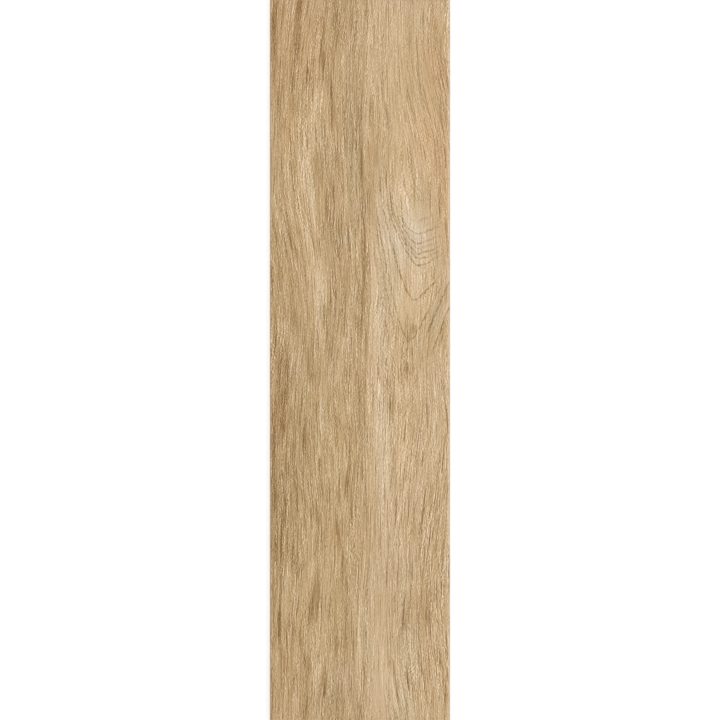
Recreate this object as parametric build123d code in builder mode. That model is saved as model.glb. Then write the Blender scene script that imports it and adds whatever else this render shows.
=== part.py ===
"""Plank floor tile of wood-effect porcelain, lying face up.

The tile is one dry-pressed and fired piece. Its wear face is flat, with a narrow ground bevel all round. Its back
is keyed for the adhesive: shallow square cells, pressed between ribs that lie on the floor's bedding plane.
Frame: origin at the middle of the back, X across the plank, Y along it, Z up through the wear face.
"""

import os

from build123d import *

# Driving dimensions in millimetres, angles in degrees

# Format
tile_length = 1200.0
tile_width = 300.0
tile_thickness = 10.0

# Ground edges
face_bevel = 1.5
back_bevel = 0.5

# Keyed back
cell_size = 25.0
rib_width = 3.0
cell_depth = 0.8
cell_draft = 30.0
least_border = 10.0

# The cells fill the back in whole steps and leave a plain border all round
cell_pitch = cell_size + rib_width
cell_columns = int((tile_width - 2 * least_border + rib_width) // cell_pitch)
cell_rows = int((tile_length - 2 * least_border + rib_width) // cell_pitch)

# One stud of the press punch: the shape of a cell, narrowing inwards so that the punch lets go
with BuildPart() as punch_stud:
    with BuildSketch():
        Rectangle(cell_size, cell_size)
    extrude(amount=cell_depth, taper=cell_draft)

with BuildPart() as tile:
    # Pressed slab, squared by grinding
    with BuildSketch():
        Rectangle(tile_width, tile_length)
    extrude(amount=tile_thickness)

    # Bevel round the wear face, and a finer one round the back
    chamfer(tile.faces().sort_by(Axis.Z)[-1].edges(), face_bevel)
    chamfer(tile.faces().sort_by(Axis.Z)[0].edges(), back_bevel)

    # Cells that the punch leaves in the back
    with GridLocations(cell_pitch, cell_pitch, cell_columns, cell_rows):
        add(punch_stud.part, mode=Mode.SUBTRACT)

tile.part.label = "tile"

os.makedirs("parts", exist_ok=True)
export_step(tile.part, "parts/tile.step")

print(f"tile {tile_width:g} x {tile_length:g} x {tile_thickness:g} mm")
print(f"keyed back: {cell_columns} x {cell_rows} cells, volume {tile.part.volume / 1000:.1f} cm3")
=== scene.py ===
# %% [markdown]
# # A wood-effect floor tile
# The object is a plank-format porcelain tile, 300 x 1200 mm and 10 mm thick, lying face up. It is one
# pressed and fired piece. Its face is printed and lightly embossed to pass for two oak boards side by
# side, its edges are ground square with a narrow bevel, and its back is keyed with shallow cells that
# hold the adhesive.
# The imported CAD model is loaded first, as a fixed frame. Everything after it is made in that frame, in
# metres.

# %% Load the frame
import math
from collections import namedtuple

import bpy
import numpy as np
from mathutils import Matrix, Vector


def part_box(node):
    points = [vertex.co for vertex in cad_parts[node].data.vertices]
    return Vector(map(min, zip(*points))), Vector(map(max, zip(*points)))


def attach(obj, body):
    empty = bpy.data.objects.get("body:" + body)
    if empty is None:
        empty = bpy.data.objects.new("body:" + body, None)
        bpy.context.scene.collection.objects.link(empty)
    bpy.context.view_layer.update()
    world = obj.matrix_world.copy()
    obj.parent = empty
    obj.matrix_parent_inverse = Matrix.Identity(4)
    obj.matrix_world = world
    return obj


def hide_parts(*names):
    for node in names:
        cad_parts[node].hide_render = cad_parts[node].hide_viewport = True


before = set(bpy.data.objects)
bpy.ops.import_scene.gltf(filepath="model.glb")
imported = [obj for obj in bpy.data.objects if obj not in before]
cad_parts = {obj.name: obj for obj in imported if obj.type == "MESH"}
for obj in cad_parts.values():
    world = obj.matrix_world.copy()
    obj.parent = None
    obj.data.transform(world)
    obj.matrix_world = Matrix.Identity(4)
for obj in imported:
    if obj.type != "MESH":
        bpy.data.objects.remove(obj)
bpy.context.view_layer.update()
tile_low, tile_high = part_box("tile")
print("frame: tile from", tuple(tile_low), "to", tuple(tile_high))

# %% [markdown]
# ## The slab
# A real tile is pressed from powder, fired, and then ground to size, with a fine bevel that keeps the
# edge from chipping. A cube with a bevel would do for the outline, but the face has to carry thousands
# of small grain hollows later, so it starts as a fine grid. The cells are about three times as long as
# they are wide, because wood grain changes quickly across a board and slowly along it. The rim of the
# grid is then extruded downwards, ring by ring.

# %% Face of the slab
MM = 0.001
half_width = tile_high.x
half_length = tile_high.y
thickness = tile_high.z
face_bevel = 1.5 * MM
back_bevel = 0.5 * MM
grid_columns = 264
grid_rows = 324


def add_sheet(name, columns, rows, half_size, height):
    """Add a flat grid of the given half size at a height, with its place and size in its mesh."""
    bpy.ops.object.select_all(action="DESELECT")
    bpy.ops.mesh.primitive_grid_add(
        x_subdivisions=columns, y_subdivisions=rows, size=2, location=(0, 0, height),
    )
    bpy.ops.transform.resize(value=(*half_size, 1))
    bpy.ops.object.transform_apply(location=True, rotation=False, scale=True)
    sheet = bpy.context.object
    sheet.name = name
    return sheet


face_size = (half_width - face_bevel, half_length - face_bevel)
tile = add_sheet("plank_tile", grid_columns, grid_rows, face_size, thickness)
print("face grid:", len(tile.data.polygons), "cells")

# %% Bevels and sides
full_size = (half_width, half_length)
back_size = (half_width - back_bevel, half_length - back_bevel)
side_height = thickness - face_bevel - back_bevel


def select_open_rim():
    """In edit mode, select the edges that have a face on one side only."""
    bpy.ops.mesh.select_mode(type="EDGE")
    bpy.ops.mesh.select_all(action="DESELECT")
    bpy.ops.mesh.select_non_manifold(
        use_wire=False, use_boundary=True, use_multi_face=False, use_non_contiguous=False, use_verts=False,
    )


def step_down(drop, old_size, new_size):
    """Extrude the selected rim downwards, and resize the new ring from one half size to another."""
    bpy.ops.mesh.extrude_edges_move(TRANSFORM_OT_translate={"value": (0, 0, -drop)})
    bpy.ops.transform.resize(value=(new_size[0] / old_size[0], new_size[1] / old_size[1], 1))


bpy.ops.object.mode_set(mode="EDIT")
select_open_rim()
step_down(face_bevel, face_size, full_size)
step_down(side_height, full_size, full_size)
step_down(back_bevel, full_size, back_size)
bpy.ops.object.mode_set(mode="OBJECT")
print("slab:", len(tile.data.polygons), "faces, still open underneath")

# %% [markdown]
# ## The keyed back
# The press punch leaves rows of shallow square cells in the back, with ribs between them, so that the
# bedding adhesive gets a grip. Each cell could be cut with a boolean, but a grid with one face for each
# cell is cleaner: every face is inset by half a rib, then inset again while it moves into the body,
# which gives the sloping walls.

# %% Cells and ribs
cell_size = 25 * MM
rib_width = 3 * MM
cell_depth = 0.8 * MM
cell_draft = math.radians(30)
cell_columns = 10
cell_rows = 42
cell_pitch = cell_size + rib_width
keyed_size = (cell_columns * cell_pitch / 2, cell_rows * cell_pitch / 2)

keyed_back = add_sheet("keyed_back", cell_columns, cell_rows, keyed_size, 0)
bpy.ops.object.mode_set(mode="EDIT")
bpy.ops.mesh.select_mode(type="FACE")
bpy.ops.mesh.select_all(action="SELECT")
bpy.ops.mesh.flip_normals()
bpy.ops.mesh.inset(thickness=rib_width / 2, depth=0, use_individual=True)
bpy.ops.mesh.inset(thickness=cell_depth * math.tan(cell_draft), depth=-cell_depth, use_individual=True)
bpy.ops.object.mode_set(mode="OBJECT")
print("keyed back:", cell_columns * cell_rows, "cells,", len(keyed_back.data.polygons), "faces")

# %% Close the slab
bpy.ops.object.select_all(action="DESELECT")
keyed_back.select_set(True)
tile.select_set(True)
bpy.context.view_layer.objects.active = tile
bpy.ops.object.join()
bpy.ops.object.mode_set(mode="EDIT")
select_open_rim()
bpy.ops.mesh.fill(use_beauty=True)
bpy.ops.mesh.select_all(action="SELECT")
bpy.ops.mesh.normals_make_consistent(inside=False)
select_open_rim()
bpy.ops.object.mode_set(mode="OBJECT")
open_edges = sum(edge.select for edge in tile.data.edges)
print("closed slab:", len(tile.data.polygons), "faces,", open_edges, "open edges")

# %% [markdown]
# ## Where the grain runs
# The printed grain is not straight: fibres lean, swell round the heart of a board and turn back. A
# texture can't know that, so the face gets a map of its own, called grain. Its first number stays the
# same along a fibre, and its second runs along the board. Any noise that is stretched along that second
# number then follows the fibres.
# Each bend below is a place, read off the photograph in pixels, where the fibres lean to one side. Two
# weak ripples keep the fibres between the bends from running dead straight.

# %% Photo pixels on the tile
photo_size = 720
photo_middle = photo_size / 2
picture_height = 2 * (half_length - face_bevel)
photo_scale = picture_height / photo_size
flatness = 0.01 * MM


def vertex_places(mesh):
    """Vertex places of a mesh as an array of x, y and z."""
    places = np.empty(len(mesh.vertices) * 3)
    mesh.vertices.foreach_get("co", places)
    return places.reshape(-1, 3)


places = vertex_places(tile.data)
pixel_x = photo_middle + places[:, 0] / photo_scale
pixel_y = photo_middle - places[:, 1] / photo_scale
on_face = places[:, 2] > thickness - flatness
print("one photo pixel is", round(photo_scale / MM, 3), "mm;", int(on_face.sum()), "vertices on the face")

# %% Grain map
Ripple = namedtuple("Ripple", "sway along across")
ripples = [Ripple(0.5, 31, 17), Ripple(0.25, 14, -23)]
Bend = namedtuple("Bend", "x y half_width half_length lean")
bends = [
    Bend(345, 35, 36, 70, -0.09), Bend(298, 20, 20, 50, -0.07), Bend(296, 235, 24, 80, 0.18),
    Bend(276, 255, 14, 60, 0.08), Bend(428, 110, 34, 80, 0.23), Bend(392, 238, 20, 50, 0.16),
    Bend(440, 322, 16, 40, -0.32), Bend(428, 490, 32, 100, -0.14), Bend(310, 590, 26, 60, -0.15),
    Bend(318, 690, 26, 50, -0.14), Bend(350, 480, 14, 45, -0.08), Bend(361, 590, 12, 50, -0.10),
    Bend(398, 700, 14, 40, 0.18), Bend(336, 335, 16, 40, -0.10),
]


def across_grain(x, y):
    """Across-grain place in photo pixels: the same all along one fibre."""
    across = x
    for ripple in ripples:
        across = across + ripple.sway * np.sin(y / ripple.along + x / ripple.across)
    for bend in bends:
        step = y - bend.y
        fade = np.exp(-0.5 * (step / bend.half_length) ** 2 - ((x - bend.x) / bend.half_width) ** 2)
        across -= bend.lean * step * fade
    return across


def add_map(mesh, name, values):
    """Give a mesh a UV map from one pair of numbers for each vertex."""
    corners = np.empty(len(mesh.loops), np.int32)
    mesh.loops.foreach_get("vertex_index", corners)
    layer = mesh.uv_layers.new(name=name)
    layer.data.foreach_set("uv", values[corners].astype(np.float32).ravel())


across = across_grain(pixel_x, pixel_y)
grain_places = np.column_stack([across, -pixel_y]) * photo_scale / MM
for layer in list(tile.data.uv_layers):
    tile.data.uv_layers.remove(layer)
add_map(tile.data, "grain", grain_places)
print("grain map: fibres lean by up to", round(float(np.abs(across - pixel_x).max()), 1), "pixels")

# %% [markdown]
# ## The heart of the right-hand board
# Where a saw cuts through the heart of a trunk, the growth rings show as nested arches. On this print
# they hang down like the letter U, with long steep arms on the left and short flat ones on the right.
# Drawing each line would take many points, so the arches are worked out as one family instead, whose
# shape changes slowly from ring to ring.
# Each vertex gets the level of its ring, which is the height in the photograph where that ring turns
# over, and the number of levels to a pixel, so that every line can later be drawn equally thin.

# %% Ring levels
arch_top = 170
arch_power = 1.54
round_width = 5
halvings = 40
levels = [200, 234, 254, 266, 300, 340, 372, 420, 600, 1000]
axis_of_level = [414, 416, 418.5, 419, 414, 409, 408, 408, 408, 408]
left_reach = [30, 35, 40.5, 43.5, 38.5, 39, 40, 44, 60, 100]
right_slope = [0.40, 0.42, 0.42, 0.62, 1.1, 2.0, 2.45, 2.9, 3.0, 3.0]


def ring_levels(x, y):
    """Level of the ring through each point, found by halving the range that it lies in."""
    low = y.copy()
    high = np.full_like(y, levels[-1])
    for _ in range(halvings):
        level = (low + high) / 2
        aside = x - np.interp(level, levels, axis_of_level)
        left_part = np.abs(aside) / np.interp(level, levels, left_reach)
        left_drop = np.maximum(level - arch_top, 0) * left_part ** arch_power
        right_drop = np.interp(level, levels, right_slope) * (np.hypot(aside, round_width) - round_width)
        outside = level - np.where(aside < 0, left_drop, right_drop) < y
        low = np.where(outside, level, low)
        high = np.where(outside, high, level)
    return (low + high) / 2


def add_values(mesh, name, values):
    """Give a mesh one number for each vertex."""
    attribute = mesh.attributes.new(name, "FLOAT", "POINT")
    attribute.data.foreach_set("value", values.astype(np.float32))


nudge = 0.5
slope_range = (0.7, 60)
ring = ring_levels(pixel_x, pixel_y)
slope_x = ring_levels(pixel_x + nudge, pixel_y) - ring_levels(pixel_x - nudge, pixel_y)
slope_y = ring_levels(pixel_x, pixel_y + nudge) - ring_levels(pixel_x, pixel_y - nudge)
ring_slope = np.clip(np.hypot(slope_x, slope_y), *slope_range)
add_values(tile.data, "ring", ring)
add_values(tile.data, "ring_slope", ring_slope)
print("rings: levels from", round(float(ring.min())), "to", round(float(ring.max())))

# %% Where the rings show
# Each pair is where the rings begin to show and where they show in full, in pixels or ring levels
heart_top = (196, 216)
heart_foot = (368, 335)
inner_rings = (352, 343)
left_arms = (373, 381)
right_arms = (447, 424)
outer_right = (421, 429)
outer_left = (370, 380)
outer_left_end = (403, 393)
outer_right_strength = 0.9
outer_left_strength = 0.6


def smooth_step(values, low, high):
    """Rise smoothly from 0 at low to 1 at high."""
    part = np.clip((values - low) / (high - low), 0, 1)
    return part * part * (3 - 2 * part)


inner = smooth_step(ring, *inner_rings)
arms = smooth_step(pixel_x, *left_arms) * smooth_step(pixel_x, *right_arms)
outer_arm = outer_left_strength * smooth_step(pixel_x, *outer_left) * smooth_step(pixel_x, *outer_left_end)
outskirts = outer_right_strength * smooth_step(pixel_x, *outer_right) + outer_arm
heart = smooth_step(pixel_y, *heart_top) * smooth_step(pixel_y, *heart_foot)
heart = heart * (inner * arms + (1 - inner) * outskirts)
add_values(tile.data, "heart", heart)
print("heart:", int((heart > 0.5).sum()), "vertices show their rings")

# %% [markdown]
# ## Light and dark streaks
# Oak is never one colour. The left-hand board is darker than the right, and both carry long light and
# dark streaks. They could be left to noise, but then the tile would be some oak and not this one.
# They are listed one by one instead, each with its place in the photograph, its half size and how much
# lighter or darker it is, in steps of the usual 0 to 255. Each is a soft patch on the grain map, so it
# bends with the fibres that it lies on.

# %% Streaks of the left-hand board
dark_left = [
    (273.5, 27, 3, 16, -32), (275, 62, 3, 20, -16), (280, 110, 2.5, 40, -14), (272.5, 178, 2, 14, -12),
    (299.5, 7, 3, 14, -22), (297, 22, 3, 14, -14), (296, 42, 2.6, 16, -17), (292.5, 93, 3, 18, -12),
    (309.5, 84, 4, 14, -10), (323, 60, 3, 12, -16), (338, 21, 4, 30, -12), (330, 52, 4, 16, -8),
    (332.5, 78, 3, 14, -10), (332, 112, 2.5, 15, -20), (352.5, 21, 3, 14, -8), (358, 104, 2.5, 18, -12),
    (359.5, 130, 2.5, 20, -12), (361, 158, 2, 16, -22), (349.5, 150, 1.8, 18, -14),
    (351, 193, 2, 14, -10), (362.5, 195, 2, 24, -14), (365, 253, 1.7, 18, -22),
    (363.5, 276, 1.7, 14, -11), (362.5, 298, 2, 14, -7), (321, 164, 4, 14, -8),
    (330.5, 190, 2.5, 10, -18), (338, 166, 3, 14, -8), (352.5, 224, 2, 18, -8), (331, 224, 3, 26, -10),
    (336, 245, 9, 50, -7), (276.5, 241, 2.5, 18, -16), (279.5, 270, 2, 18, -16), (281, 292, 2, 14, -12),
    (288, 224, 2, 24, -12), (292.5, 241, 1.5, 20, -10), (291, 280, 2.5, 18, -12), (295, 324, 4, 16, -14),
    (328, 310, 2.5, 16, -16), (330.5, 348, 3.5, 9, -16), (339.5, 324, 3, 14, -8), (280, 359, 4, 13, -16),
    (282.5, 396, 4.5, 19, -30), (283, 425, 3, 13, -24), (274, 425, 3, 16, -24), (274, 456, 3, 18, -22),
    (274.5, 483, 3, 14, -18), (274.5, 503, 3, 12, -26), (274, 545, 3, 22, -18),
    (281.5, 535, 0.9, 24, -38), (281, 585, 0.9, 36, -30), (272.5, 583, 3, 16, -14),
    (279.5, 620, 2, 11, -22), (274, 603, 3, 14, -10), (279.5, 641, 2, 12, -10), (294, 465, 2.5, 18, -16),
    (304, 434, 2.5, 14, -16), (307, 452, 2.2, 14, -18), (295, 490, 2.5, 16, -12), (294, 517, 3, 16, -9),
    (294, 545, 3, 22, -10), (295, 570, 2.5, 16, -12), (312.5, 374, 5, 10, -16), (291, 382, 4, 12, -8),
    (321, 474, 1.8, 14, -14), (319.5, 517, 2, 14, -8), (322.5, 537, 2, 9, -12), (343.5, 391, 1.6, 12, -8),
    (337.5, 423, 2.5, 9, -14), (348, 428, 3.5, 5, -9), (361, 394, 2.5, 15, -18), (361, 418, 2, 15, -14),
    (361, 454, 1.6, 16, -12), (348, 485, 4, 10, -15), (338, 531, 3.5, 9, -16), (339.5, 548, 2, 12, -8),
    (349.5, 520, 3, 10, -6), (344, 588, 4, 16, -8), (334, 611, 3, 14, -8), (345, 606, 4, 14, -8),
    (317, 588, 4, 17, -18), (314, 606, 4, 12, -20), (309.5, 618, 3, 9, -16), (338, 645, 4, 7, -24),
    (345, 634, 3, 10, -10), (305, 680, 4, 17, -14), (338, 703, 3.5, 15, -14), (304, 714, 4, 12, -14),
    (354, 703, 2, 14, -12), (319.5, 700, 2.5, 14, -8), (329.5, 708, 2.5, 12, -8), (362, 120, 1.1, 55, -6),
    (363, 205, 1.1, 50, -8), (364.5, 265, 1.2, 36, -10), (275, 45, 4, 34, -6), (304, 153, 2, 8, -9),
    (346, 74, 2, 10, -9), (296, 429, 4, 18, -8), (285, 473, 4, 24, -7), (284, 517, 4, 18, -6),
    (371, 585, 3, 28, -6), (283, 100, 1.6, 24, -7), (282, 150, 1.6, 18, -7), (291, 62, 1.8, 18, -6),
    (352, 420, 1.5, 12, -7),
]
light_left = [
    (286.5, 58, 3.5, 16, 6), (324, 13, 3, 14, 6), (345, 64, 2, 15, 10), (315, 110, 3, 15, 14),
    (322, 101, 3, 12, 9), (301, 118, 3, 12, 8), (306.5, 138, 3, 13, 16), (305, 156, 3, 12, 14),
    (302.5, 178, 3, 18, 16), (309.5, 181, 2, 22, 12), (314, 215, 2.2, 25, 18), (299.5, 212, 2, 22, 16),
    (305, 232, 3, 18, 16), (312.5, 252, 3, 20, 20), (318, 275, 3.5, 16, 17), (325, 290, 2.5, 15, 22),
    (317, 304, 3, 16, 18), (321, 324, 3, 16, 14), (305, 281, 2.5, 14, 8), (345, 173, 2, 32, 10),
    (355, 184, 1.5, 16, 8), (286.5, 167, 2.5, 20, 7), (321, 414, 2.2, 13, 14), (321, 435, 2.2, 12, 8),
    (349.5, 408, 2.5, 14, 18), (335, 457, 2.5, 11, 10), (347, 457, 3, 10, 9), (345, 505, 2.5, 9, 15),
    (314, 482, 2, 16, 8), (321, 498, 1.8, 9, 8), (338, 374, 2, 13, 8), (312.5, 565, 3, 11, 12),
    (308, 580, 2.5, 13, 10), (286.5, 583, 2.5, 24, 10), (311, 534, 2, 12, 8), (364, 568, 2, 13, 12),
    (361, 597, 2.5, 15, 17), (358.5, 620, 3, 16, 20), (359.5, 648, 2.2, 20, 25), (315, 674, 2, 18, 18),
    (321, 668, 3, 11, 12), (317, 648, 2, 12, 8), (298, 654, 3, 16, 6), (332, 688, 2, 14, 8),
    (310, 279, 2.5, 13, 10), (326, 305, 1.6, 14, 12), (316, 142, 4, 12, 8), (316, 457, 3, 14, 6),
    (356, 673, 3, 24, 8), (318, 697, 2.5, 14, 8), (336, 135, 1.8, 14, 7), (294, 190, 2, 16, 6),
    (288, 215, 1.6, 16, 5), (318, 629, 3, 10, 6),
]
print("left-hand board:", len(dark_left), "dark streaks and", len(light_left), "light ones")

# %% Streaks of the right-hand board
light_right = [
    (396.5, 4, 8, 12, 8), (394, 27, 6, 14, 6), (404, 187, 6, 15, 12), (402.5, 207, 6, 11, 10),
    (411, 224, 6, 9, 13), (421, 235, 6, 9, 14), (385, 193, 2.5, 15, 8), (395, 235, 4, 12, 10),
    (401, 253, 3, 13, 12), (377, 247, 3, 22, 8), (388, 253, 3, 18, 9), (419.5, 278, 4, 9, 9),
    (422.5, 258, 5, 10, 6), (375.5, 300, 3, 42, 12), (397, 295, 2, 18, 8), (394, 338, 4, 22, 8),
    (437, 310, 2, 12, 9), (445, 312, 3, 10, 22), (377, 374, 3, 22, 10), (378, 431, 4, 32, 13),
    (387, 437, 2.5, 28, 17), (385, 483, 5, 26, 9), (384, 517, 6, 22, 8), (399.5, 394, 4, 11, 10),
    (407, 394, 3, 10, 8), (404, 443, 4, 12, 6), (401, 468, 3, 13, 15), (402.5, 505, 4, 15, 10),
    (434, 390, 3, 26, 8), (435, 440, 4, 16, 8), (382, 665, 8, 34, 12), (394, 691, 2, 16, 15),
    (383, 440, 7, 80, 7), (375, 300, 3, 55, 5), (374, 640, 3, 60, 2), (372, 560, 3, 40, 2),
    (402.5, 545, 4, 14, 6), (405, 565, 3, 14, 6), (429.5, 525, 1.8, 18, 4), (411, 643, 4, 12, 6),
    (422, 560, 1.8, 24, 9), (404, 697, 2.2, 13, 8), (395, 449, 2.5, 15, 6), (444, 292, 2.5, 10, 7),
    (377, 170, 3, 20, 5), (395, 130, 4, 30, 4), (404, 470, 2, 12, 4),
]
dark_right = [
    (385, 52, 2, 18, -8), (377, 156, 7, 26, -8), (371, 170, 5, 32, -9), (369.5, 205, 4, 30, -9),
    (437, 67, 8, 60, -5), (443, 170, 5, 50, -5), (396.5, 281, 1.5, 22, -10), (405, 270, 1.5, 15, -8),
    (413, 328.5, 2.6, 4, -38), (406, 325, 1.2, 9, -26), (431, 318, 3, 9, -12), (440, 303, 2, 8, -16),
    (446, 297, 2, 6, -14), (443, 330, 1.8, 12, -18), (414, 347, 4, 12, -6), (405, 371, 3, 9, -10),
    (394, 460, 2.2, 15, -14), (417, 460, 1.8, 15, -12), (414, 434, 2, 12, -10), (424, 505, 1.8, 20, -12),
    (419.5, 543, 2, 15, -10), (414, 531, 2, 11, -10), (421, 571, 1.6, 18, -12), (377, 540, 3, 14, -6),
    (405, 620, 5, 10, -12), (419.5, 620, 2, 16, -10), (428, 620, 3, 16, -8), (420, 615, 24, 20, -7),
    (432, 560, 14, 40, -4), (395, 674, 2, 11, -14), (408, 680, 1.8, 9, -16), (418, 663, 2, 14, -8),
    (394, 238, 2, 20, -9), (388, 259, 2, 16, -7), (408, 335, 3, 10, -9), (392, 334, 3, 12, -8),
    (444, 489, 3.5, 14, -8), (406, 557, 3.5, 15, -6), (410, 649, 3, 14, -7), (408.5, 337, 2, 4, -26),
    (407, 368, 2, 5, -24), (403, 356, 1.3, 5, -20), (422.5, 356, 1.3, 7, -9), (433, 352, 1.3, 12, -10),
]
print("right-hand board:", len(dark_right), "dark streaks and", len(light_right), "light ones")

# %% Broad areas
# Wide areas that the eye sees when it takes the whole face in, in three strengths
faint = 3
clear = 5
strong = 8
broad = [
    (275, 30, 5, 40, -strong), (296, 40, 4, 35, -clear), (277, 410, 8, 50, -strong),
    (274, 500, 6, 60, -clear), (287, 490, 9, 70, -clear), (274, 610, 6, 45, -clear),
    (281, 690, 10, 40, -faint), (307, 445, 5, 22, -faint), (312, 382, 7, 22, -faint),
    (342, 560, 6, 45, -faint), (338, 685, 7, 35, -faint), (306, 700, 5, 28, -faint),
    (317, 118, 5, 28, faint), (306, 165, 7, 40, clear), (311, 235, 8, 45, clear),
    (319, 300, 8, 40, clear), (350, 230, 8, 90, faint), (341, 365, 6, 30, faint),
    (320, 420, 5, 30, faint), (385, 40, 15, 60, faint), (399, 70, 9, 60, faint),
    (420, 150, 13, 40, clear), (383, 200, 8, 28, faint), (430, 245, 8, 40, clear),
    (405, 362, 5, 18, faint), (441, 110, 6, 55, -faint), (412, 215, 9, 25, -faint),
    (409, 318, 5, 18, -faint), (430, 320, 5, 20, -faint), (416, 618, 16, 18, -faint),
    (430, 560, 13, 40, -faint), (425, 700, 18, 30, -faint), (442, 495, 4, 25, -faint),
]
print("broad areas:", len(broad))

# %% Tone of the face
Patch = namedtuple("Patch", "x y half_width half_length amount")
board_joint = (363, 370)
left_board_tone = -3.4
right_board_tone = 6.2
tone_steps = 120
streak_stretch = 1.15
streak_gain = 1.02
heart_glow = 11
glow_fade = (438, 412)
# A painted highlight: a narrow strip along the right edge of the face is made lighter, as if light from the
# right caught it
painted_edge_highlight = 14
painted_highlight_edge = (446.3, 448.5)


def paint(rows, stretch=1, gain=1):
    """Sum of soft patches at each vertex, made longer by a stretch and stronger by a gain."""
    total = np.zeros(len(across))
    for patch in (Patch(*row) for row in rows):
        middle = across_grain(np.array([patch.x], float), np.array([patch.y], float))[0]
        aside = (across - middle) / patch.half_width
        along = (pixel_y - patch.y) / (patch.half_length * stretch)
        total += patch.amount * gain * np.exp(-aside ** 2 - along ** 2)
    return total


streaks = dark_left + light_left + light_right + dark_right + broad
joint_blend = smooth_step(across, *board_joint)
tone = left_board_tone + (right_board_tone - left_board_tone) * joint_blend
tone = tone + paint(streaks, streak_stretch, streak_gain)
tone += heart_glow * heart * smooth_step(pixel_x, *glow_fade)
# Painted highlight: lighter along the right edge of the face
tone += painted_edge_highlight * smooth_step(pixel_x, *painted_highlight_edge)
add_values(tile.data, "tone", tone / tone_steps)
print("tone:", len(streaks), "patches placed, from", round(tone.min()), "to", round(tone.max()), "steps")

# %% [markdown]
# ## Colour casts, and where the fibres show
# Parts of a board lean towards red or grey, and others towards yellow or blue, without being lighter or
# darker. Painting that into the tones would mix the two up, so the casts are two numbers of their own
# at each vertex, again from soft patches. A third number says how plainly the fine fibres show. They
# are clear on most of the face, and fade round the heart and on its quiet parts.

# %% Warm and cool patches
# An amount of 1 is as warm or as yellow, and of -1 as cool or as blue, as the print gets
warm = [
    (285, 50, 24, 70, 0.7), (318, 60, 14, 40, 0.4), (288, 135, 10, 26, 0.5), (436, 60, 10, 30, 0.8),
    (421, 140, 14, 36, 0.55), (442, 165, 12, 60, 0.8), (402, 55, 8, 20, 0.5), (310, 260, 14, 60, 0.3),
    (278, 400, 8, 30, 0.3), (343, 440, 8, 18, 0.4), (404, 430, 9, 70, 0.3), (332, 530, 10, 26, 0.4),
    (302, 610, 12, 26, 0.5), (290, 690, 18, 36, 0.4), (445, 200, 5, 40, 0.5),
]
cool = [
    (355, 130, 9, 80, -0.6), (355, 205, 8, 20, -0.5), (340, 238, 20, 8, -0.6), (388, 235, 8, 40, -0.9),
    (415, 235, 15, 30, -1.0), (384, 300, 7, 50, -0.7), (437, 315, 9, 18, -0.9), (330, 320, 14, 30, -0.3),
    (293, 370, 8, 18, -0.5), (385, 470, 8, 60, -0.5), (372, 565, 7, 14, -0.7), (404, 640, 12, 70, -0.6),
    (402, 706, 14, 14, -0.7), (365, 640, 10, 50, -0.5), (340, 690, 24, 24, -0.7),
    (310, 500, 40, 130, -0.25), (415, 440, 30, 120, -0.15), (385, 600, 18, 60, -0.30),
]
yellow = [
    (322, 470, 34, 110, 0.5), (315, 600, 34, 50, 0.4), (290, 120, 14, 36, 0.6), (278, 265, 10, 30, 0.6),
    (345, 440, 8, 40, 0.3), (332, 530, 10, 24, 0.4), (402, 90, 16, 40, 0.2), (315, 30, 30, 30, 0.2),
]
blue = [
    (408, 240, 16, 24, -0.9), (425, 236, 10, 22, -0.6), (388, 225, 9, 24, -0.4), (386, 300, 7, 40, -0.5),
    (379, 400, 6, 60, -0.5), (387, 560, 10, 50, -0.4), (280, 395, 8, 40, -0.4), (400, 5, 16, 10, -0.5),
    (300, 5, 20, 10, -0.3), (415, 510, 20, 14, -0.3), (330, 705, 30, 16, -0.3), (443, 300, 6, 30, -0.6),
]


def paint_cast(name, rows):
    """Paint patches of a colour cast, as numbers from 0 to 1 with 0.5 in the middle."""
    cast = np.clip(paint(rows), -1, 1)
    add_values(tile.data, name, cast / 2 + 0.5)
    print(name, "cast: from", cast.min().round(2), "to", cast.max().round(2))


paint_cast("warmth", warm + cool)
paint_cast("yellowness", yellow + blue)

# %% Where the fibres show
# An amount below 0 makes the fibres fainter, and one above 0 makes them plainer
crisp = [
    (430, 70, 26, 70, -0.30), (398, 110, 20, 60, -0.30), (408, 175, 14, 44, -0.35),
    (374, 560, 6, 90, -0.30), (376, 690, 6, 40, -0.30), (438, 240, 10, 40, -0.30),
    (322, 200, 7, 40, -0.25), (328, 585, 7, 30, -0.25), (372, 190, 6, 90, -0.35),
    (371, 300, 4, 60, -0.35), (382, 600, 10, 80, -0.30), (380, 690, 9, 40, -0.25),
    (410, 308, 9, 12, -0.35), (297, 90, 6, 26, 0.25), (288, 155, 5, 26, 0.25), (282, 535, 6, 50, 0.30),
    (425, 535, 9, 36, 0.30), (440, 590, 10, 60, 0.30), (412, 690, 9, 30, 0.30), (360, 425, 5, 20, 0.25),
]
heart_quiet = 0.4
right_quiet = -0.03
fibre_show = 1 + paint(crisp) - heart_quiet * heart - right_quiet * joint_blend
add_values(tile.data, "fibre_show", fibre_show)
print("fibres: shown from", fibre_show.min().round(2), "to", fibre_show.max().round(2), "of their strength")

# %% [markdown]
# ## Layers of grain
# Oak grain is made of marks of many sizes, from specks of a millimetre to ribbons as long as a hand.
# Each size is one layer of noise, stretched along the grain map. Plain stretched noise would end
# neighbouring marks in one row, so the layer is also slid along the grain by a second noise, which
# staggers them. The press and the print read the same layers, which keeps the two in register.

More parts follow.
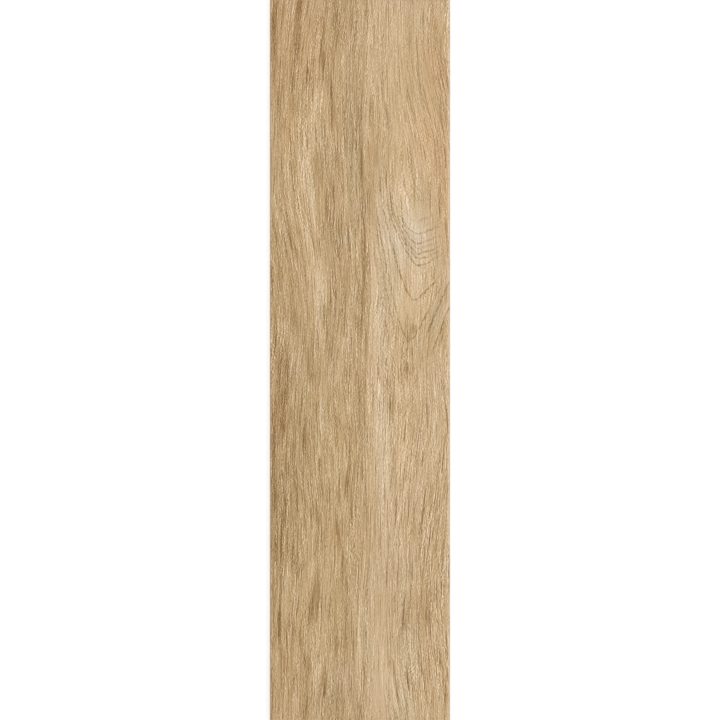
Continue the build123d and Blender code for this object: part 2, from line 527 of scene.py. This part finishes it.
# %% Layer list
# Width and length of a mark in mm, its strength in steps of tone, and a shift that sets layers apart
Layer = namedtuple("Layer", "width length steps shift")
specks = Layer(1.3, 2.5, 46, 3)
flecks = Layer(1.2, 7, 26, 17)
fibres = Layer(2.2, 20, 8, 31)
hairs = Layer(0.9, 24, 30, 47)
long_hairs = Layer(1.3, 80, 8, 59)
strands = Layer(3, 70, 2, 71)
ribbons = Layer(4.5, 140, 2, 103)
bands = Layer(9, 220, 3, 131)
pores = Layer(1.2, 60, 34, 157)
pale_lines = Layer(1.4, 80, 6, 181)
patchiness = Layer(5, 80, 0, 199)
warm_drift = Layer(14, 70, 0, 211)
yellow_drift = Layer(16, 60, 0, 227)
print("grain layers: marks from", specks.length, "to", bands.length, "mm long")

# %% Stretched noise
stagger_pace = 0.4
stagger_reach = 4.0


def put(tree, kind, *inputs, **settings):
    """Add a node, set its options, and feed its inputs in order from sockets or plain values."""
    made = tree.nodes.new(kind)
    for name, value in settings.items():
        setattr(made, name, value)
    for socket, value in zip(made.inputs, inputs):
        if isinstance(value, bpy.types.NodeSocket):
            tree.links.new(value, socket)
        elif value is not None:
            socket.default_value = value
    return made


def math_node(tree, operation, *inputs):
    """Add a math node and give its result."""
    return put(tree, "ShaderNodeMath", *inputs, operation=operation).outputs[0]


def noise_node(tree, place, scale=1, detail=0, dimensions="3D"):
    """Add noise that reads a place, and give its value, which swings about 0.5."""
    made = put(tree, "ShaderNodeTexNoise", noise_dimensions=dimensions)
    tree.links.new(place, made.inputs["W" if dimensions == "1D" else "Vector"])
    made.inputs["Scale"].default_value = scale
    made.inputs["Detail"].default_value = detail
    return made.outputs[0]


def split_grain(tree, grain, layer):
    """Place on the grain map, counted across in widths and along in lengths of a layer's marks."""
    marks = (1 / layer.width, 1 / layer.length, 1)
    counted = put(tree, "ShaderNodeVectorMath", grain, marks, operation="MULTIPLY")
    parts = put(tree, "ShaderNodeSeparateXYZ", counted.outputs[0])
    return math_node(tree, "ADD", parts.outputs[0], layer.shift), parts.outputs[1]


def flat_noise(tree, across_place, along_place):
    """Two-dimensional noise at a place across and along the grain."""
    spot = put(tree, "ShaderNodeCombineXYZ", across_place, along_place)
    return noise_node(tree, spot.outputs[0], dimensions="2D")


def grain_noise(tree, grain, layer):
    """Noise stretched along the grain map, with neighbouring marks staggered."""
    across_place, along_place = split_grain(tree, grain, layer)
    stagger = noise_node(tree, math_node(tree, "MULTIPLY", across_place, stagger_pace), dimensions="1D")
    along_place = math_node(tree, "MULTIPLY_ADD", stagger, stagger_reach, along_place)
    return flat_noise(tree, across_place, along_place)


print("grain noise: marks staggered by up to", stagger_reach, "of their lengths")

# %% [markdown]
# ## Pressed grain
# On a good tile the press has fine hollows where the print shows dark fibres, so light catches the
# grain from the side. They could be sculpted, or left to bump in the material, which wouldn't be real
# shape. A modifier with geometry nodes can read the grain map and the layers of the print, so it is
# used here. It only pushes the face down, so the tile never grows out of its true size.

# %% Press the grain into the face
strand_depth = 0.12 * MM
ribbon_depth = 0.12 * MM
mean_depth = 0.06 * MM
deepest = 0.18 * MM

add_values(tile.data, "on_face", on_face)
press = bpy.data.node_groups.new("pressed_grain", "GeometryNodeTree")
press.interface.new_socket("Geometry", in_out="INPUT", socket_type="NodeSocketGeometry")
press.interface.new_socket("Geometry", in_out="OUTPUT", socket_type="NodeSocketGeometry")
mesh_in = put(press, "NodeGroupInput")
mesh_out = put(press, "NodeGroupOutput")
grain_map = put(press, "GeometryNodeInputNamedAttribute", "grain", data_type="FLOAT_VECTOR")
face_mask = put(press, "GeometryNodeInputNamedAttribute", "on_face", data_type="FLOAT")
depth = mean_depth + strand_depth / 2 + ribbon_depth / 2
for layer, layer_depth in ((strands, strand_depth), (ribbons, ribbon_depth)):
    hollow = grain_noise(press, grain_map.outputs[0], layer)
    depth = math_node(press, "MULTIPLY_ADD", hollow, -layer_depth, depth)
depth = math_node(press, "MINIMUM", math_node(press, "MAXIMUM", depth, 0), deepest)
depth = math_node(press, "MULTIPLY", depth, face_mask.outputs[0])
offset = put(press, "ShaderNodeCombineXYZ", 0.0, 0.0, math_node(press, "MULTIPLY", depth, -1))
push = put(press, "GeometryNodeSetPosition", mesh_in.outputs[0])
press.links.new(offset.outputs[0], push.inputs["Offset"])
press.links.new(push.outputs[0], mesh_out.inputs[0])
print("press:", len(press.nodes), "nodes")

# %% Apply the press
bpy.ops.object.select_all(action="DESELECT")
tile.select_set(True)
bpy.context.view_layer.objects.active = tile
pressing = tile.modifiers.new("pressed grain", "NODES")
pressing.node_group = press
bpy.ops.object.modifier_apply(modifier=pressing.name)
pressed = vertex_places(tile.data)
hollows = (thickness - pressed[on_face, 2]) / MM
print("hollows:", hollows.mean().round(3), "mm deep on average,", hollows.max().round(3), "at most")

# %% Shade the face smooth and the ground edges flat
bpy.ops.object.shade_flat()
bpy.ops.object.mode_set(mode="EDIT")
bpy.ops.mesh.select_mode(type="FACE")
bpy.ops.mesh.select_all(action="DESELECT")
bpy.ops.object.mode_set(mode="OBJECT")
face_cells = [cell.index for cell in tile.data.polygons if all(on_face[v] for v in cell.vertices)]
for index in face_cells:
    tile.data.polygons[index].select = True
bpy.ops.object.mode_set(mode="EDIT")
bpy.ops.mesh.faces_shade_smooth()
bpy.ops.object.mode_set(mode="OBJECT")
print("smooth cells:", len(face_cells))

# %% [markdown]
# ## A flat layout
# When the tile is exported its finishes are painted into one square picture, so each part of the
# surface needs a place there. Blender can unwrap by itself, but a slab is simple enough to lay out by
# rule: the face takes most of the picture, the back a strip beside it, and the thin sides with their
# bevels the last strips on the right.

# %% Layout map
# Strips of the picture, from start to end as parts of its width or height
face_columns = (0.005, 0.78)
back_columns = (0.80, 0.93)
edge_columns = (0.945, 0.965)
next_edge = 0.025
full_rows = (0.005, 0.995)
side_rows = (0.22, 0.99)
end_rows = (0.01, 0.19)
back_height = 1 * MM


def spread(values, low, high, start, end):
    """Bring values from one range to another."""
    return start + (values - low) / (high - low) * (end - start)


layout = np.empty((len(tile.data.loops), 2))
is_face = np.zeros(len(tile.data.polygons), bool)
is_face[face_cells] = True
for polygon in tile.data.polygons:
    corners = list(polygon.loop_indices)
    x, y, z = pressed[list(polygon.vertices)].T
    to_side = half_width - abs(polygon.center.x)
    to_end = half_length - abs(polygon.center.y)
    v = spread(y, -half_length, half_length, *full_rows)
    if is_face[polygon.index]:
        u = spread(x, -half_width, half_width, *face_columns)
    elif polygon.center.z < back_height and min(to_side, to_end) > back_bevel:
        u = spread(x, half_width, -half_width, *back_columns)
    elif to_side < to_end:
        u = spread(z, thickness, 0, *edge_columns) + (0 if polygon.center.x > 0 else next_edge)
        v = spread(y, -half_length, half_length, *side_rows)
    else:
        u = spread(z, thickness, 0, *edge_columns) + (0 if polygon.center.y > 0 else next_edge)
        v = spread(x, -half_width, half_width, *end_rows)
    layout[corners, 0] = u
    layout[corners, 1] = v
layout_map = tile.data.uv_layers.new(name="OFBake")
layout_map.data.foreach_set("uv", layout.astype(np.float32).ravel())
tile.data.uv_layers["grain"].active = True
tile.data.uv_layers["grain"].active_render = True
print("layout map:", [layer.name for layer in tile.data.uv_layers])

# %% [markdown]
# ## Finishes
# Two finishes meet on this one piece. The face carries the oak print under a thin matt glaze. The
# bevels, sides and back show the fired body itself, a pale beige porcelain with fine specks. The ground
# edges keep faint lines from the grinding wheels, and the ribs of the back are dusted with the white
# wash that keeps tiles from sticking to the kiln rollers. A picture could be wrapped round the tile,
# but nodes keep it sharp at any distance. Both finishes share one effect, a fine speckle, so that is a
# node group.

# %% Speckle group
speck_detail = 2
mottle_scale = 22
mottle_detail = 3

speckle = bpy.data.node_groups.new("fired_speckle", "ShaderNodeTree")
for name, way, kind in (
    ("Vector", "INPUT", "NodeSocketVector"),
    ("Speck Size", "INPUT", "NodeSocketFloat"),
    ("Specks", "OUTPUT", "NodeSocketFloat"),
    ("Mottle", "OUTPUT", "NodeSocketFloat"),
):
    speckle.interface.new_socket(name, in_out=way, socket_type=kind)
group_in = put(speckle, "NodeGroupInput")
group_out = put(speckle, "NodeGroupOutput")
finely = put(speckle, "ShaderNodeVectorMath", group_in.outputs[0], operation="SCALE")
speckle.links.new(math_node(speckle, "DIVIDE", 1.0, group_in.outputs[1]), finely.inputs["Scale"])
speck_value = noise_node(speckle, finely.outputs[0], 1, speck_detail)
mottle_value = noise_node(speckle, group_in.outputs[0], mottle_scale, mottle_detail)
speckle.links.new(speck_value, group_out.inputs[0])
speckle.links.new(mottle_value, group_out.inputs[1])
print("group:", speckle.name)


def add_speckle(tree, vector, speck_size):
    """Place the speckle group in a material. Gives its specks and its mottle."""
    group = put(tree, "ShaderNodeGroup")
    group.node_tree = speckle
    tree.links.new(vector, group.inputs[0])
    group.inputs[1].default_value = speck_size
    return group.outputs[0], group.outputs[1]


# %% [markdown]
# ## Fine grain of the print
# The printed specks, flecks and fibres look a little sharper than in wood: beside a dark mark lies a
# faint light line, and the other way round. More contrast alone would make them coarse. So each fine
# layer is read twice, here and one photo pixel beside, and part of the second is taken off. Hairs,
# pores and pale lines are a second kind of noise: it has one value across each fibre, and every fibre
# starts at a place of its own, which makes the crisp parallel lines of real fibres.

# %% Start of the oak print
def new_material(name):
    """An empty node material with its shader, ready to be fed."""
    material = bpy.data.materials.new(name)
    material.use_nodes = True
    tree = material.node_tree
    tree.nodes.clear()
    shader = put(tree, "ShaderNodeBsdfPrincipled")
    output = put(tree, "ShaderNodeOutputMaterial")
    tree.links.new(shader.outputs[0], output.inputs[0])
    return material, tree, shader


def face_value(name):
    """Read one of the numbers that the face carries at its vertices."""
    return put(tree, "ShaderNodeAttribute", attribute_name=name).outputs["Fac"]


oak, tree, shader = new_material("oak_print_matt_glaze")
grain = put(tree, "ShaderNodeUVMap", uv_map="grain").outputs[0]
place = put(tree, "ShaderNodeTexCoord").outputs["Object"]
print("material:", oak.name)

# %% Specks, flecks, fibres and hairs
fibre_starts = 50.0
fibre_middle = 0.5
halo_step = photo_scale / MM
fine_halo = 0.3
beside = put(tree, "ShaderNodeVectorMath", grain, (halo_step, 0, 0), operation="ADD").outputs[0]


def fibre_noise(tree, grain, layer):
    """Noise that is one value across each fibre and changes along it."""
    across_place, along_place = split_grain(tree, grain, layer)
    fibre = math_node(tree, "FLOOR", across_place)
    start = put(tree, "ShaderNodeTexWhiteNoise", noise_dimensions="1D")
    tree.links.new(fibre, start.inputs["W"])
    along_place = math_node(tree, "MULTIPLY_ADD", start.outputs["Value"], fibre_starts, along_place)
    return flat_noise(tree, math_node(tree, "ADD", fibre, fibre_middle), along_place)


def add_layers(kind, layers, total, halo=0):
    """Add layers of one kind of grain to a tone, as far above as below it, with a halo beside each mark."""
    for layer in layers:
        reach = 2 * layer.steps / tone_steps
        value = kind(tree, grain, layer)
        if halo:
            value = math_node(tree, "MULTIPLY_ADD", kind(tree, beside, layer), -halo, value)
        swing = math_node(tree, "MULTIPLY_ADD", value, reach, -reach * (1 - halo) / 2)
        total = math_node(tree, "ADD", swing, total)
    return total


fine_tone = add_layers(grain_noise, [specks, flecks, fibres], 0.0, fine_halo)
fine_tone = add_layers(fibre_noise, [hairs, long_hairs], fine_tone, fine_halo)
print("fine grain: 5 layers with halos of", fine_halo)

# %% Pores and pale lines
pore_range = (0.64, 0.80)
pale_range = (0.64, 0.82)
patch_range = (0.3, 0.7)
clear_range = (0.6, 1.35)


def rescale(tree, value, old_range, new_range, **settings):
    """Bring a value from one range to another, and hold it there."""
    return put(tree, "ShaderNodeMapRange", value, *old_range, *new_range, **settings).outputs[0]


pore_mask = rescale(tree, fibre_noise(tree, grain, pores), pore_range, (0.0, 1.0))
pale_mask = rescale(tree, fibre_noise(tree, grain, pale_lines), pale_range, (0.0, 1.0))
fine_tone = math_node(tree, "MULTIPLY_ADD", pore_mask, -pores.steps / tone_steps, fine_tone)
fine_tone = math_node(tree, "MULTIPLY_ADD", pale_mask, pale_lines.steps / tone_steps, fine_tone)
clearness = rescale(tree, grain_noise(tree, grain, patchiness), patch_range, clear_range)
clearness = math_node(tree, "MULTIPLY", clearness, face_value("fibre_show"))
fine_tone = math_node(tree, "MULTIPLY", fine_tone, clearness)
print("pores: up to", pores.steps, "steps darker; pale lines: up to", pale_lines.steps, "lighter")

# %% [markdown]
# ## Ring lines of the heart
# The arches are thin dark lines, some strong and some faint, a little wavy and broken into dots as the
# grain crosses them. Curves could draw them, but the ring levels are on the face already. A colour ramp
# with hard steps serves as a list: it gives the level and strength of the line nearest to each point,
# and the distance to it is then counted in pixels.

# %% Ring lines
RingLine = namedtuple("RingLine", "level strength")
ring_lines = [
    RingLine(221, 0.3), RingLine(228, 0.15), RingLine(234, 0.8), RingLine(239, 0.2), RingLine(243.5, 0.8),
    RingLine(248.5, 0.3), RingLine(253.5, 1.0), RingLine(259, 0.75), RingLine(266, 0.9),
    RingLine(275, 0.2), RingLine(300, 0.95), RingLine(320, 0.25), RingLine(341, 0.8), RingLine(369, 0.95),
    RingLine(381, 0.3), RingLine(392, 0.35), RingLine(408, 0.95), RingLine(424, 0.5),
]
first_level = 200
last_level = 440
level_span = last_level - first_level
wave_size = 9 * MM
ring_detail = 1
wave_swing = 4.0


def colour_ramp(tree, value, stops, interpolation="LINEAR"):
    """A colour ramp with its stops given as place and colour."""
    ramp = put(tree, "ShaderNodeValToRGB", value)
    ramp.color_ramp.interpolation = interpolation
    elements = ramp.color_ramp.elements
    while len(elements) < len(stops):
        elements.new(1)
    for element, (spot, colour) in zip(elements, stops):
        element.position = spot
        element.color = colour
    return ramp.outputs[0]


ring_wave = noise_node(tree, place, 1 / wave_size, ring_detail)
ring_wave = math_node(tree, "MULTIPLY_ADD", ring_wave, wave_swing, -wave_swing / 2)
slope_value = face_value("ring_slope")
wavy_ring = math_node(tree, "MULTIPLY_ADD", ring_wave, slope_value, face_value("ring"))
ring_place = math_node(tree, "MULTIPLY_ADD", wavy_ring, 1 / level_span, -first_level / level_span)
starts = [first_level] + [(a.level + b.level) / 2 for a, b in zip(ring_lines, ring_lines[1:])]
line_stops = [
    ((start - first_level) / level_span, ((line.level - first_level) / level_span, line.strength, 0, 1))
    for start, line in zip(starts, ring_lines)
]
nearest = put(tree, "ShaderNodeSeparateColor", colour_ramp(tree, ring_place, line_stops, "CONSTANT"))
print("heart:", len(ring_lines), "ring lines")

# %% Width and dots of the lines
line_range = (0.25, 1.05)
dot_size = 5 * MM
dot_range = (0.36, 0.62)
dot_strength = (0.35, 1.2)

levels_off = math_node(tree, "ABSOLUTE", math_node(tree, "SUBTRACT", ring_place, nearest.outputs[0]))
pixels_off = math_node(tree, "DIVIDE", math_node(tree, "MULTIPLY", levels_off, level_span), slope_value)
line = rescale(tree, pixels_off, line_range, (1.0, 0.0), interpolation_type="SMOOTHSTEP")
line = math_node(tree, "MULTIPLY", line, nearest.outputs[1])
line = math_node(tree, "MULTIPLY", line, face_value("heart"))
dots = rescale(tree, noise_node(tree, place, 1 / dot_size, ring_detail), dot_range, dot_strength)
line = math_node(tree, "MULTIPLY", line, dots)
print("ring lines:", 2 * line_range[1], "pixels wide at most")

# %% [markdown]
# ## Colour of the print
# All that went before gives one number, the tone of the oak. A colour ramp turns it into browns and
# creams, and the two colour casts tint the result. A mix of many browns could do the same, but one
# ramp keeps the colours of the wood in order from dark to light.

# %% Tones of the oak
def srgb(red, green, blue):
    """A colour given in the usual 0 to 255 steps, as Blender's linear colour."""
    steps = [value / 255 for value in (red, green, blue)]
    return [s / 12.92 if s <= 0.04045 else ((s + 0.055) / 1.055) ** 2.4 for s in steps] + [1]


oak_tones = [
    (0.00, srgb(127, 93, 49)),
    (0.20, srgb(157, 124, 78)),
    (0.42, srgb(185, 154, 109.5)),
    (0.50, srgb(194, 164, 121)),
    (0.58, srgb(203, 173, 133)),
    (0.77, srgb(223, 197, 161)),
    (1.00, srgb(245, 225, 195)),
]
middle_tone = 0.5
line_steps = 50

oak_tone = math_node(tree, "ADD", face_value("tone"), middle_tone)
oak_tone = add_layers(grain_noise, [strands, ribbons, bands], oak_tone)
oak_tone = math_node(tree, "ADD", oak_tone, fine_tone)
oak_tone = math_node(tree, "MULTIPLY_ADD", line, -line_steps / tone_steps, oak_tone)
oak_colour = colour_ramp(tree, oak_tone, oak_tones)
print("oak tones:", len(oak_tones), "stops")

# %% Colour casts
cool_cast = (0.964, 1.030, 1.080, 1)
warm_cast = (1.036, 0.970, 0.920, 1)
yellow_cast = (1.000, 1.005, 0.925, 1)
blue_cast = (1.000, 0.995, 1.078, 1)
cast_swing = 0.4

for name, low_cast, high_cast, layer in (
    ("warmth", cool_cast, warm_cast, warm_drift),
    ("yellowness", blue_cast, yellow_cast, yellow_drift),
):
    swing = math_node(tree, "MULTIPLY_ADD", grain_noise(tree, grain, layer), cast_swing, -cast_swing / 2)
    cast_value = math_node(tree, "ADD", swing, face_value(name))
    tinted = put(tree, "ShaderNodeMix", 1.0, data_type="RGBA", blend_type="MULTIPLY")
    tree.links.new(oak_colour, tinted.inputs[6])
    tree.links.new(colour_ramp(tree, cast_value, [(0, low_cast), (1, high_cast)]), tinted.inputs[7])
    oak_colour = tinted.outputs[2]
tree.links.new(oak_colour, shader.inputs["Base Color"])
print("colour casts: 2 on the oak")

# %% [markdown]
# ## Gloss and fine relief of the print
# The glaze is matt, with specks that are a little rougher and pores that are rougher still. The finest
# fibres are too small for the mesh, so they are left to a bump that reads the fine tone.

# %% Gloss and bump of the print
glaze_speck_size = 0.7 * MM
glaze_roughness = 0.50
speck_roughness = 0.12
pore_roughness = 0.15
glaze_shine = 0.35
line_depth = 0.3
glaze_bump = 0.4
bump_depth = 0.1 * MM


def add_bump(tree, shader, height, strength):
    """Feed a shader's normal from a bump."""
    bump = put(tree, "ShaderNodeBump")
    bump.inputs["Strength"].default_value = strength
    bump.inputs["Distance"].default_value = bump_depth
    tree.links.new(height, bump.inputs["Height"])
    tree.links.new(bump.outputs[0], shader.inputs["Normal"])


glaze_specks = add_speckle(tree, place, glaze_speck_size)[0]
roughness = math_node(tree, "MULTIPLY_ADD", glaze_specks, speck_roughness, glaze_roughness)
roughness = math_node(tree, "MULTIPLY_ADD", pore_mask, pore_roughness, roughness)
tree.links.new(roughness, shader.inputs["Roughness"])
shader.inputs["Specular IOR Level"].default_value = glaze_shine
add_bump(tree, shader, math_node(tree, "MULTIPLY_ADD", line, -line_depth, fine_tone), glaze_bump)
print("finish:", oak.name, "with", len(tree.nodes), "nodes")

# %% [markdown]
# ## Porcelain body
# The body is one clay all through, pale beige with fine darker specks. On the sides the wheels leave
# fine lines along the edge, and on the back the ribs that touched the rollers are dusted white. The
# wash could be a second material on the ribs, but its edge would be too clean. It is mixed in by height
# instead, and broken up by the mottle.

# %% Colour of the body
body_tones = [
    (0.30, srgb(170, 150, 126)),
    (0.50, srgb(196, 177, 153)),
    (0.70, srgb(212, 196, 174)),
]
wash_colour = srgb(226, 220, 208)
body_speck_size = 0.9 * MM
speck_share = 0.5
mottle_share = 0.4
rib_heights = (0.05 * MM, 0.3 * MM)
mottle_range = (0.38, 0.62)
wash_range = (0.1, 0.75)

body, tree, shader = new_material("pale_porcelain_body")
place = put(tree, "ShaderNodeTexCoord").outputs["Object"]
body_specks, mottle = add_speckle(tree, place, body_speck_size)
body_tone = math_node(tree, "MULTIPLY_ADD", body_specks, speck_share, speck_share / 2)
body_tone = math_node(tree, "SUBTRACT", body_tone, mottle_share / 2)
body_tone = math_node(tree, "MULTIPLY_ADD", mottle, mottle_share, body_tone)
height_off_floor = put(tree, "ShaderNodeSeparateXYZ", place).outputs[2]
on_ribs = rescale(tree, height_off_floor, rib_heights, (1.0, 0.0))
wash = math_node(tree, "MULTIPLY", rescale(tree, mottle, mottle_range, wash_range), on_ribs)
washed = put(tree, "ShaderNodeMix", data_type="RGBA")
tree.links.new(wash, washed.inputs["Factor"])
tree.links.new(colour_ramp(tree, body_tone, body_tones), washed.inputs[6])
washed.inputs[7].default_value = wash_colour
tree.links.new(washed.outputs[2], shader.inputs["Base Color"])
print("body tones:", len(body_tones), "stops and a white wash")

# %% Grinding lines
line_length = 0.06
line_width = 0.35 * MM
grinding_detail = 2
body_roughness = 0.55
grinding_roughness = 0.2
speck_height = 0.6
body_bump = 0.35

grinding_marks = (1 / line_length, 1 / line_length, 1 / line_width)
grinding = put(tree, "ShaderNodeVectorMath", place, grinding_marks, operation="MULTIPLY")
ground = noise_node(tree, grinding.outputs[0], 1, grinding_detail)
roughness = math_node(tree, "MULTIPLY_ADD", ground, grinding_roughness, body_roughness)
tree.links.new(roughness, shader.inputs["Roughness"])
add_bump(tree, shader, math_node(tree, "MULTIPLY_ADD", body_specks, speck_height, ground), body_bump)
print("finish:", body.name, "with", len(tree.nodes), "nodes")

# %% Put the finishes on
tile.data.materials.append(body)
tile.data.materials.append(oak)
body_slot = 0
oak_slot = 1
for polygon in tile.data.polygons:
    polygon.material_index = body_slot
for index in face_cells:
    tile.data.polygons[index].material_index = oak_slot
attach(tile, "root")
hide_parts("tile")
print("tile finished:", len(tile.data.polygons), "faces")

# %% [markdown]
# ## Floor, light and camera
# The tile lies on a plain white floor in soft light from all round, with a little more from the right,
# so the right bevel is bright and the left one is in half shade. The floor and the sky look whiter to
# the camera than they shine on the tile, which keeps the oak's colours as they are written. The camera
# looks straight down through a long lens, and the tile's length fills the picture.

# %% Floor
floor_size = 12
floor_gap = 0.1 * MM
floor_white = (0.8, 0.8, 0.8, 1)
floor_roughness = 0.9
floor_glow = 0.4
white = (1, 1, 1, 1)


def seen_plainly(tree):
    """1 for a ray from the camera or one that shows this in gloss or glass, 0 for light on the tile."""
    path = put(tree, "ShaderNodeLightPath")
    plainly = math_node(tree, "MAXIMUM", path.outputs["Is Camera Ray"], path.outputs["Is Glossy Ray"])
    return math_node(tree, "MAXIMUM", plainly, path.outputs["Is Transmission Ray"])


bpy.ops.object.select_all(action="DESELECT")
bpy.ops.mesh.primitive_plane_add(size=floor_size, location=(0, 0, -floor_gap))
floor = bpy.context.object
floor.name = "floor"
floor_paint, tree, shader = new_material("white_floor")
shader.inputs["Base Color"].default_value = floor_white
shader.inputs["Roughness"].default_value = floor_roughness
shader.inputs["Emission Color"].default_value = white
glow = math_node(tree, "MULTIPLY", seen_plainly(tree), floor_glow)
tree.links.new(glow, shader.inputs["Emission Strength"])
floor.data.materials.append(floor_paint)
print("floor", floor_size, "m across")

# %% World
sky_light = 0.56
sky_seen = 1.0

world = bpy.data.worlds.new("soft_white_studio")
bpy.context.scene.world = world
world.use_nodes = True
tree = world.node_tree
tree.nodes.clear()
sky_level = rescale(tree, seen_plainly(tree), (0.0, 1.0), (sky_light, sky_seen))
sky = put(tree, "ShaderNodeBackground", white, sky_level)
put(tree, "ShaderNodeOutputWorld", sky.outputs[0])
print("sky: lights the tile at", sky_light)

# %% Lamps
lamp_size = 3.0


def add_lamp(name, place, watts):
    """Add a large soft lamp that points at the tile."""
    bpy.ops.object.light_add(type="AREA", location=place)
    lamp = bpy.context.object
    lamp.name = name
    lamp.data.size = lamp_size
    lamp.data.energy = watts
    lamp.rotation_euler = (-lamp.location).to_track_quat("-Z", "Y").to_euler()


add_lamp("key_from_right", (4.0, -0.8, 3.6), 120)
add_lamp("fill_from_above", (-1.5, 1.5, 5.0), 60)
print("lamps: 2,", lamp_size, "m across")

# %% Camera
camera_height = 6.0
lens_sensor = 36
bpy.ops.object.camera_add(location=(0, 0, thickness + camera_height), rotation=(0, 0, 0))
camera = bpy.context.object
camera.data.sensor_width = lens_sensor
camera.data.lens = lens_sensor * camera_height / picture_height
bpy.context.scene.camera = camera
bpy.context.scene.view_settings.view_transform = "Standard"
print("camera lens", round(camera.data.lens), "mm")
